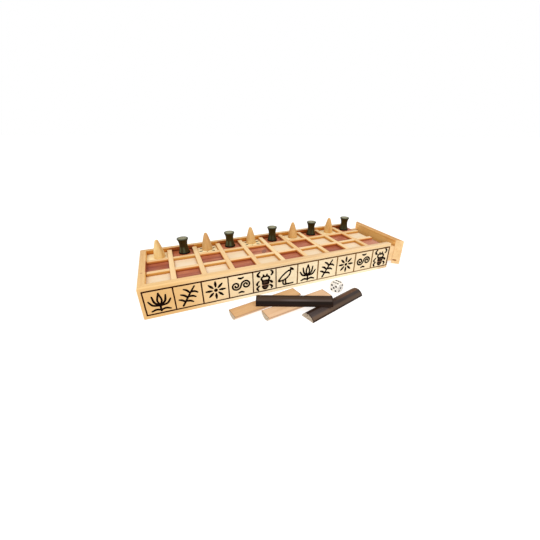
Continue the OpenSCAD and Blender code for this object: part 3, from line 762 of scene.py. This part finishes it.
HALF_SCROLL = scroll(10.2, 16.2, 6.6, 1.5)
FIGURES = {
    # a lotus flower
    0: [("s", [(16.8, 3.0, 1.4), (16.6, 7.0, 1.3), (16.8, 11.0, 1.6)])] + mirrored([
        ("s", [(16.8, 11.0, 1.1), (14.2, 18.0, 1.2), (16.8, 27.6, 1.0)]),
        ("s", [(16.0, 11.0, 1.3), (10.8, 15.8, 1.6), (9.0, 24.0, 0.9)]),
        ("s", [(15.4, 10.6, 1.3), (8.4, 12.4, 1.6), (4.4, 18.0, 0.9)]),
        ("s", [(16.8, 4.2, 1.2), (11.4, 5.6, 1.7), (6.2, 3.8, 0.9)]),
    ]),
    # a palm frond
    1: [
        ("s", [(8.6, 3.0, 1.5), (12.4, 9.0, 1.4), (16.0, 15.0, 1.3), (20.2, 21.6, 1.2), (24.8, 28.4, 0.9)]),
        ("s", [(12.2, 8.6, 1.2), (8.4, 11.6, 1.8), (5.0, 12.8, 0.8)]),
        ("s", [(15.4, 14.2, 1.2), (11.6, 17.8, 1.8), (7.8, 19.4, 0.8)]),
        ("s", [(19.0, 20.0, 1.2), (15.6, 24.2, 1.7), (12.0, 26.2, 0.8)]),
        ("s", [(12.6, 9.2, 1.2), (17.6, 8.8, 1.8), (21.4, 6.6, 0.8)]),
        ("s", [(16.0, 15.0, 1.2), (21.2, 15.0, 1.8), (25.0, 13.0, 0.8)]),
        ("s", [(19.8, 21.2, 1.2), (24.6, 21.0, 1.7), (28.0, 18.8, 0.8)]),
    ],
    # a rosette
    2: petal_ring(16.8, 16.2, 8, ((5.0, 0.9), (8.4, 2.3), (12.2, 0.8)))
    + [("b", [(16.8 + 2.3 * math.cos(math.pi * i / 5), 16.2 + 2.3 * math.sin(math.pi * i / 5)) for i in range(10)])],
    # a running scroll
    3: [("s", HALF_SCROLL), ("s", [(33.6 - u, 32.4 - v, w) for u, v, w in HALF_SCROLL])]
    + [("s", [(13.4, v, 0.9), (16.8, v + d, 1.8), (20.2, v, 0.9)]) for v, d in ((27.4, -1.0), (5.0, 1.0))],
    4: [
        ("b", [(12.9, 10.6), (12.5, 13.6), (13.3, 16.5), (17.8, 17.2), (22.4, 16.5), (23.3, 13.6), (22.9, 10.6), (17.8, 9.9)]),
        ("b", [(12.8, 8.0), (17.6, 8.5), (22.3, 8.0), (22.0, 5.6), (20.3, 3.1), (17.6, 2.0), (14.9, 3.1), (13.1, 5.6)]),
        ("s", [(13.2, 16.6, 1.7), (11.7, 19.4, 1.5), (13.0, 21.6, 1.6), (15.0, 22.6, 1.7), (17.6, 22.2, 1.2), (20.2, 22.6, 1.7), (22.3, 21.4, 1.6), (23.6, 19.2, 1.5), (22.6, 16.8, 1.7)]),
        ("s", [(15.0, 25.3, 0.9), (15.7, 23.0, 2.2)]),
        ("s", [(20.5, 25.5, 0.9), (19.6, 23.0, 2.2)]),
        ("s", [(9.6, 30.3, 0.9), (7.4, 28.2, 1.7), (6.6, 26.0, 2.3), (7.8, 24.2, 2.1), (9.6, 23.2, 1.1)]),
        ("s", [(26.0, 30.0, 0.9), (28.0, 28.6, 1.7), (28.4, 26.4, 2.1), (27.6, 24.6, 1.7), (26.3, 23.4, 1.1)]),
        ("s", [(8.4, 16.2, 0.9), (6.4, 14.2, 1.5), (5.4, 12.2, 2.1), (6.2, 10.6, 1.3)]),
        ("s", [(24.2, 14.8, 1.1), (26, 13.6, 2.3), (27.6, 11.8, 2.3)]),
        ("s", [(9.0, 8.9, 1.0), (6.8, 7.2, 1.6), (5.6, 5.4, 1.9), (6.4, 3.6, 1.7), (7.4, 2.2, 1.0)]),
        ("s", [(24.3, 8.2, 1.0), (26.4, 6.8, 1.9), (27.8, 5.0, 1.7), (26.6, 2.8, 1.0)]),
    ],
    5: [
        ("b", [(21.3, 29.2), (23.2, 28.9), (25.6, 27.6), (27.2, 25.6), (26.9, 24.2), (24.8, 24.4), (22.6, 25.2), (21.3, 26.8)]),
        ("s", [(22.4, 25.3, 1.3), (18.5, 24.2, 1.2), (14, 21.4, 1.2), (9.5, 17.6, 1.2), (6.2, 14.0, 1.1)]),
        ("s", [(21.8, 24.8, 1.3), (22.3, 22, 1.1), (20.8, 17.8, 1.1), (18, 14.6, 1.2), (15.2, 12.4, 1.4)]),
        ("s", [(6.0, 13.6, 1.2), (4.4, 11.2, 2.2), (5.2, 9.9, 1.8), (8, 10.3, 1.2), (11.5, 10.7, 1.3)]),
        ("s", [(11.6, 10.8, 1.4), (10.8, 8, 1.2), (11.2, 5.2, 1.2), (12.8, 3.5, 1.3), (16, 3.1, 1.2)]),
        ("s", [(14.2, 12.3, 1.6), (14.7, 9.5, 1.2), (14.9, 6, 1.2), (16.3, 4.2, 1.4), (20, 3.6, 1.3), (26.6, 3.9, 1.0)]),
    ],
}
BAND_OF_BEETLE = [(12.9, 10.0), (17.8, 9.6), (22.8, 10.0), (22.6, 8.4), (17.7, 8.8), (12.9, 8.4)]

rng = random.Random(11)
ink = ink_paint("ornament_ink", (10, 2, 1), (28, 10, 3), right=((14, 5, 1), (36, 18, 6)))
faded = ink_paint("ornament_brown", (128, 92, 74), (150, 112, 88))
rubbed = ink_paint("ornament_rubbed", (52, 38, 30), (84, 64, 50))
line = ink_paint("ornament_line", (44, 14, 4), (66, 28, 10), right=((80, 42, 6), (102, 62, 14)),
                 thin=((124, 92, 54), (146, 112, 70)))
GROW = 1.1                         # brush strokes spread into the wood by this much
for k in range(11):
    f = Ink("ornament_figure_%d" % (k + 1), on_front(k), 0.09)
    for kind, pts in FIGURES[k % 6]:
        dx, dy = rng.uniform(-0.15, 0.15), rng.uniform(-0.15, 0.15)
        if kind == "s":
            f.stroke([(p[0] + dx, p[1] + dy, p[2] + GROW + 0.03 * k) for p in pts])
        else:
            mu, mv = sum(p[0] for p in pts) / len(pts), sum(p[1] for p in pts) / len(pts)
            out = []
            for u, v in pts:
                r = math.hypot(u - mu, v - mv)
                q = 1 + 0.2 / r
                out.append((mu + (u - mu) * q + dx, mv + (v - mv) * q + dy))
            f.blob(out)
    f.done(ink, "carcass")
    if k % 6 == 4:
        b = Ink("ornament_beetle_band_%d" % (k + 1), on_front(k), 0.14)
        b.blob(BAND_OF_BEETLE, sharp=True)
        b.done(faded, "carcass")
        w = Ink("ornament_beetle_wear_%d" % (k + 1), on_front(k), 0.13)
        for kind, pts in FIGURES[4][:2]:
            mu, mv = sum(p[0] for p in pts) / len(pts), sum(p[1] for p in pts) / len(pts)
            w.blob([(mu + (u - mu) * 0.6, mv + (v - mv) * 0.5) for u, v in pts])
        w.done(rubbed, "carcass")


def wobble(a, b, w, n=9):
    """a ruled line with the small waver of a hand-held brush"""
    out = []
    for i in range(n):
        t = i / (n - 1)
        out.append((a[0] + (b[0] - a[0]) * t + rng.uniform(-0.1, 0.1),
                    a[1] + (b[1] - a[1]) * t + rng.uniform(-0.1, 0.1),
                    w + rng.uniform(-0.12, 0.12)))
    return out


g = Ink("ornament_frame_lines", on_front(0), 0.05)
for v in (0.0, BAND_H):
    pts = wobble((0, v), (PANEL * 11, v), 1.9, 60)
    def slim(a):                         # the lower line runs thinner to the right, the upper one only past the middle
        if v == 0.0:
            return 0.3 * min(1.0, max(0.0, (a - 28.0) / 30.0)) + 0.35 * min(1.0, max(0.0, (a - 140.0) / 40.0))
        return 0.12 * min(1.0, max(0.0, (a - 100.0) / 40.0)) - 0.12
    g.stroke([(a, b, w + 0.5 * a / (PANEL * 11) - slim(a)) for a, b, w in pts], per=2)
for k in range(12):
    g.stroke(wobble((PANEL * k, 0.3), (PANEL * k, BAND_H - 0.3), 1.72 if k < 3 else 1.65 if k < 6 else 1.72 + 0.05 * k + 0.06 * (k - 6)))
g.done(line, "carcass")


# marks on the special squares --------------------------------------------------
def on_deck(u, v, h):
    return P(u, v, DECK + h)


marks = Ink("square_marks", on_deck, 0.05)
for col in (2, 4):                       # a ring of ticks on the third and fifth squares of the far row
    for kind, pts in petal_ring(DIV_X0 + PITCH * (col - 0.5), 103.6, 6, ((9.0, 0.7), (10.8, 1.3), (12.6, 0.7)), 0.35):
        marks.stroke([(u, v, w + 1.5) for u, v, w in pts])
marks.done(ink, "carcass")
water = Ink("square_mark_water", on_deck, 0.05)
for dy in (0.0, 4.2, 8.4):
    pts = []
    for i in range(9):
        t = i / 8
        pts.append((173.5 + 9.5 * t + dy * 0.15, 54.5 + dy + 9.5 * t * 0.9 + (0.9 if i % 2 else -0.9), 0.9))
    water.stroke(pts)
water.done(ink_paint("mark_grey", (120, 92, 86), (140, 108, 100)), "carcass")


# ---------------------------------------------------------------------------
# stage and light
# ---------------------------------------------------------------------------
def floor_material():
    mat = bpy.data.materials.new("floor_white")
    mat.use_nodes = True
    nt = mat.node_tree
    nt.nodes.clear()
    out = nt.nodes.new("ShaderNodeOutputMaterial")
    add = nt.nodes.new("ShaderNodeAddShader")
    d = nt.nodes.new("ShaderNodeBsdfDiffuse")
    d.inputs["Color"].default_value = (0.42, 0.42, 0.42, 1)
    e = nt.nodes.new("ShaderNodeEmission")
    e.inputs["Color"].default_value = (1, 1, 1, 1)
    e.inputs["Strength"].default_value = 0.76
    nt.links.new(d.outputs[0], add.inputs[0])
    nt.links.new(e.outputs[0], add.inputs[1])
    nt.links.new(add.outputs[0], out.inputs[0])
    return mat


bm = bmesh.new()
bmesh.ops.create_circle(bm, cap_ends=True, radius=30.0, segments=64)
me = bpy.data.meshes.new("floor")
bm.to_mesh(me)
bm.free()
floor = bpy.data.objects.new("floor", me)
floor.location = (0, 0, -0.0002)
me.materials.append(floor_material())
scene.collection.objects.link(floor)

world = bpy.data.worlds.new("world")
scene.world = world
world.use_nodes = True
wn = world.node_tree
wn.nodes.clear()
wo = wn.nodes.new("ShaderNodeOutputWorld")
lit = wn.nodes.new("ShaderNodeBackground")
lit.inputs["Color"].default_value = (1.0, 0.985, 0.96, 1)
lit.inputs["Strength"].default_value = 0.765
seen = wn.nodes.new("ShaderNodeBackground")
seen.inputs["Color"].default_value = (1, 1, 1, 1)
seen.inputs["Strength"].default_value = 1.0
lp = wn.nodes.new("ShaderNodeLightPath")
mx = wn.nodes.new("ShaderNodeMixShader")
wn.links.new(lp.outputs["Is Camera Ray"], mx.inputs[0])
wn.links.new(lit.outputs[0], mx.inputs[1])
wn.links.new(seen.outputs[0], mx.inputs[2])
wn.links.new(mx.outputs[0], wo.inputs[0])


def area(name, at, to, size, watts, colour=(1, 1, 1)):
    data = bpy.data.lights.new(name, "AREA")
    data.shape = "SQUARE"
    data.size = size
    data.energy = watts
    data.color = colour
    o = bpy.data.objects.new(name, data)
    o.location = at
    o.rotation_euler = (Vector(to) - Vector(at)).to_track_quat("-Z", "Y").to_euler()
    scene.collection.objects.link(o)
    return o


area("key", (0.9, -0.9, 1.3), (0.05, 0, 0.02), 0.9, 7.1, (1.0, 0.97, 0.92))
area("fill", (-0.6, -1.4, 0.7), (0, 0, 0.02), 1.2, 3.9)
area("left", (-0.9, -0.1, 1.5), (0.1, 0, 0.02), 0.8, 6.3)
